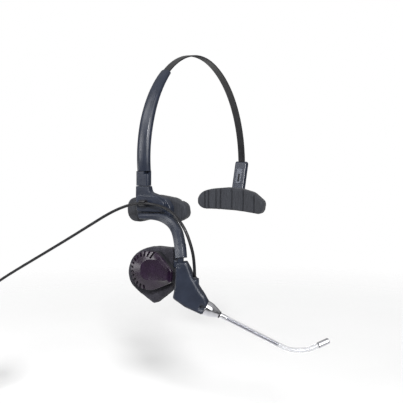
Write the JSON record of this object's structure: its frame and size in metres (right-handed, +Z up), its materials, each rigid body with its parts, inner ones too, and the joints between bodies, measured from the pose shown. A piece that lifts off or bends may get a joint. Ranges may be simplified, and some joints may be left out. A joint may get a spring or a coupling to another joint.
{
  "type": "office headset",
  "caption": "Single-ear office headset: sliding spring headband with ribbed far rest, ear arm with tinted receiver and foam cushion, swinging boom with clear voice tube, cord to a plug.",
  "frame": {"origin": "centre of the ear cushion's head-side face, where it meets the wearer's right ear", "axes": "+X into the head, from the right ear to the far side; +Y to the back of the head; +Z up"},
  "size_m": [0.1679, 0.2614, 0.2573],
  "materials": {
    "shell_plastic": "satin charcoal",
    "dark_plastic": "matte black",
    "pad_rubber": "matte",
    "coated_steel": "satin black",
    "bare_steel": "plain",
    "cap_plastic": "tinted gloss",
    "foam": "open foam",
    "chrome": "polished",
    "clear_plastic": "clear",
    "board": "green lacquer",
    "cord_jacket": "satin",
    "film": "thin film",
    "contact_metal": "plated"
  },
  "bodies": {
    "headband": {"sleeve_outer": "shell_plastic", "sleeve_inner": "shell_plastic", "detent_spring": "bare_steel", "stem_collar": "shell_plastic", "temple_bracket": "shell_plastic", "bracket_screws": "bare_steel", "temple_pad": "pad_rubber", "ear_arm_cover": "shell_plastic", "ear_arm_frame": "shell_plastic", "arm_end_cap": "shell_plastic", "cord_clip": "dark_plastic", "cord_tube": "cord_jacket", "cord_coil": "cord_jacket", "coil_tie": "cord_jacket", "cord_tail": "cord_jacket", "plug_boot": "pad_rubber", "plug_shell": "dark_plastic", "plug_grip": "dark_plastic", "plug_nose": "dark_plastic", "plug_contacts": "contact_metal"},
    "band": {"spring_band": "coated_steel", "band_stop": "bare_steel"},
    "far_rest": {"t_stem": "shell_plastic", "stem_insert": "shell_plastic", "stem_pin": "bare_steel", "far_pad_plate": "dark_plastic", "far_pad": "pad_rubber"},
    "boom": {"boom_outer_shell": "shell_plastic", "boom_inner_shell": "shell_plastic", "boom_screw": "bare_steel", "knuckle_pin": "bare_steel", "mic_nose": "chrome", "nose_ring": "dark_plastic", "mic_capsule": "bare_steel", "mic_boot": "pad_rubber", "circuit_board": "board", "strain_relief": "pad_rubber", "receiver_pin": "bare_steel"},
    "receiver": {"receiver_cap": "cap_plastic", "vent_ring": "dark_plastic", "receiver_housing": "dark_plastic", "speaker_driver": "bare_steel", "speaker_diaphragm": "film", "speaker_grille": "dark_plastic", "ear_cushion": "foam"},
    "voice_tube": {"tube_ferrule": "chrome", "tube_core": "bare_steel", "tube_clear": "clear_plastic", "tube_tip": "chrome", "tip_screen": "dark_plastic"}
  },
  "joints": [
    {"name": "size_slide", "type": "hinge", "parent": "headband", "child": "band", "pos_m": [0.0696, 0.012, 0.0693], "axis": [0, 1, 0], "range_deg": [-8, 20]},
    {"name": "far_rest_rock", "type": "hinge", "parent": "band", "child": "far_rest", "pos_m": [0.1465, 0.012, 0.05943], "axis": [0, 1, 0], "range_deg": [-8, 8]},
    {"name": "boom_swing", "type": "hinge", "parent": "headband", "child": "boom", "pos_m": [-0.0148, -0.0239, 0.005], "axis": [1, 0, 0], "range_deg": [-10, 14], "deforming": ["cord_tube"]},
    {"name": "receiver_tilt", "type": "hinge", "parent": "boom", "child": "receiver", "pos_m": [-0.0126, -0.0195, 0], "axis": [0, 0, 1], "range_deg": [-12, 12]},
    {"name": "tube_twist", "type": "hinge", "parent": "boom", "child": "voice_tube", "pos_m": [-0.0088, -0.0378, -0.0207], "axis": [0.3576, -0.8202, -0.4466], "range_deg": [-120, 120]}
  ]
}
